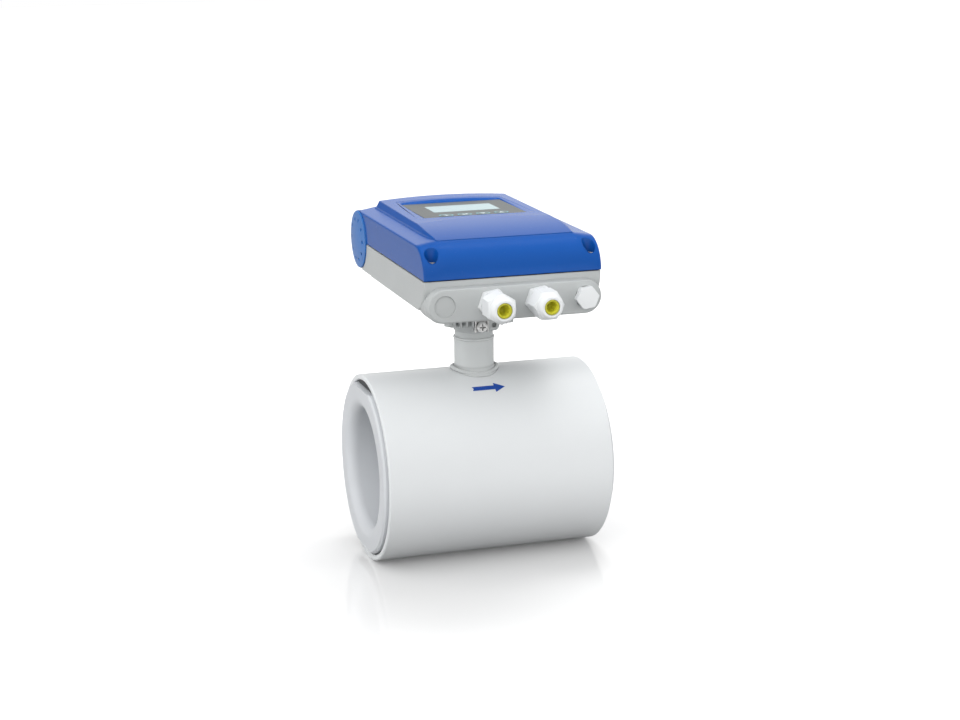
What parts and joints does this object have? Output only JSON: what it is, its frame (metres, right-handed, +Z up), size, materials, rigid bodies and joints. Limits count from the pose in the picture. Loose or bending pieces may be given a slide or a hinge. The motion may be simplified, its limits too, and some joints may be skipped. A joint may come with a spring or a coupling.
{
  "type": "electromagnetic flow meter",
  "caption": "Wafer electromagnetic flow meter: lined tube body with a neck-mounted converter, hinged cover, display keys and cable glands.",
  "frame": {"origin": "centre of the flow bore, midway between the two faces", "axes": "+X along the flow, -Y towards the cable entries, +Z up through the neck to the converter"},
  "size_m": [0.2, 0.2647, 0.2933],
  "materials": {
    "shell_paint": "light grey powder coat, satin",
    "neck_paint": "light grey powder coat, satin",
    "housing_paint": "die cast, light grey powder coat",
    "cover_paint": "die cast, blue powder coat",
    "cap_plastic": "blue moulded plastic",
    "liner_plastic": "white moulded lining, satin",
    "steel": "bare steel",
    "iron": "soft iron",
    "copper": "enamelled copper winding",
    "screw_steel": "bright plated steel",
    "wire_skin": "red wire insulation",
    "gland_plastic": "white moulded polyamide",
    "insert_rubber": "yellow sealing insert",
    "seal_rubber": "black seal",
    "panel_film": "grey display panel",
    "window": "clear display window",
    "key_film": "grey key with a pale outline",
    "lcd": "display module, pale cyan",
    "board": "green circuit board",
    "black_plastic": "black moulded plastic",
    "green_plastic": "green terminal housing",
    "can_aluminium": "capacitor can",
    "tray_plastic": "dark grey moulded tray"
  },
  "bodies": {
    "meter": {"sensor_shell": "shell_paint", "end_ring_inlet": "steel", "end_ring_outlet": "steel", "measuring_tube": "steel", "liner": "liner_plastic", "pole_upper": "iron", "pole_lower": "iron", "coil_upper": "copper", "coil_lower": "copper", "yoke_ring": "iron", "coil_wires": "wire_skin", "electrode_front": "steel", "electrode_rear": "steel", "electrode_bushes": "black_plastic", "electrode_nuts": "steel", "electrode_wires": "wire_skin", "neck_tube": "neck_paint", "neck_adapter": "housing_paint", "adapter_gasket": "seal_rubber", "adapter_screws": "screw_steel", "earth_clamp": "screw_steel", "earth_washer": "screw_steel", "base_housing": "housing_paint", "cover_seal": "seal_rubber", "electronics_tray": "tray_plastic", "tray_screws": "screw_steel", "main_board": "board", "lead_connector": "black_plastic", "transformer": "iron", "capacitors": "can_aluminium", "board_chips": "black_plastic", "terminal_block": "green_plastic", "terminal_screws": "screw_steel", "display_posts": "screw_steel", "display_board": "board", "lcd_module": "lcd", "key_switches": "black_plastic", "entry_seals": "seal_rubber", "blind_plug": "gland_plastic", "gland_body_left": "gland_plastic", "gland_body_right": "gland_plastic", "gland_insert_left": "insert_rubber", "gland_insert_right": "insert_rubber"},
    "cover": {"cover": "cover_paint", "display_panel": "panel_film", "lcd_window": "window", "hinge_cap_left": "cap_plastic", "hinge_cap_right": "cap_plastic", "hinge_pin_left": "steel", "hinge_pin_right": "steel"},
    "cover_screw_left": {"cover_screw_left": "screw_steel"},
    "cover_screw_right": {"cover_screw_right": "screw_steel"},
    "key_1": {"key_1": "key_film"},
    "key_2": {"key_2": "key_film"},
    "key_3": {"key_3": "key_film"},
    "key_4": {"key_4": "key_film"},
    "gland_nut_left": {"gland_nut_left": "gland_plastic"},
    "gland_nut_right": {"gland_nut_right": "gland_plastic"},
    "earth_screw": {"earth_screw": "screw_steel"}
  },
  "joints": [
    {"name": "cover_hinge", "type": "hinge", "parent": "meter", "child": "cover", "pos_m": [0, 0.096, 0.178], "axis": [-1, 0, 0], "range_deg": [0, 105]},
    {"name": "cover_screw_left_turn", "type": "hinge", "parent": "cover", "child": "cover_screw_left", "pos_m": [-0.0654, -0.0998, 0.186], "axis": [0, 0, 1], "continuous": true},
    {"name": "cover_screw_right_turn", "type": "hinge", "parent": "cover", "child": "cover_screw_right", "pos_m": [0.0654, -0.0998, 0.186], "axis": [0, 0, 1], "continuous": true},
    {"name": "key_1_press", "type": "slide", "parent": "cover", "child": "key_1", "axis": [0, 0, -1], "range_m": [0, 0.0005], "stiffness_N_per_m": 400, "springref_m": -0.002},
    {"name": "key_2_press", "type": "slide", "parent": "cover", "child": "key_2", "axis": [0, 0, -1], "range_m": [0, 0.0005], "stiffness_N_per_m": 400, "springref_m": -0.002},
    {"name": "key_3_press", "type": "slide", "parent": "cover", "child": "key_3", "axis": [0, 0, -1], "range_m": [0, 0.0005], "stiffness_N_per_m": 400, "springref_m": -0.002},
    {"name": "key_4_press", "type": "slide", "parent": "cover", "child": "key_4", "axis": [0, 0, -1], "range_m": [0, 0.0005], "stiffness_N_per_m": 400, "springref_m": -0.002},
    {"name": "gland_nut_left_turn", "type": "hinge", "parent": "meter", "child": "gland_nut_left", "pos_m": [-0.01947, -0.13, 0.158], "axis": [0, -1, 0], "continuous": true},
    {"name": "gland_nut_right_turn", "type": "hinge", "parent": "meter", "child": "gland_nut_right", "pos_m": [0.01947, -0.13, 0.158], "axis": [0, -1, 0], "continuous": true},
    {"name": "earth_screw_turn", "type": "hinge", "parent": "meter", "child": "earth_screw", "pos_m": [-0.001, -0.026, 0.1195], "axis": [0, -1, 0], "continuous": true}
  ]
}
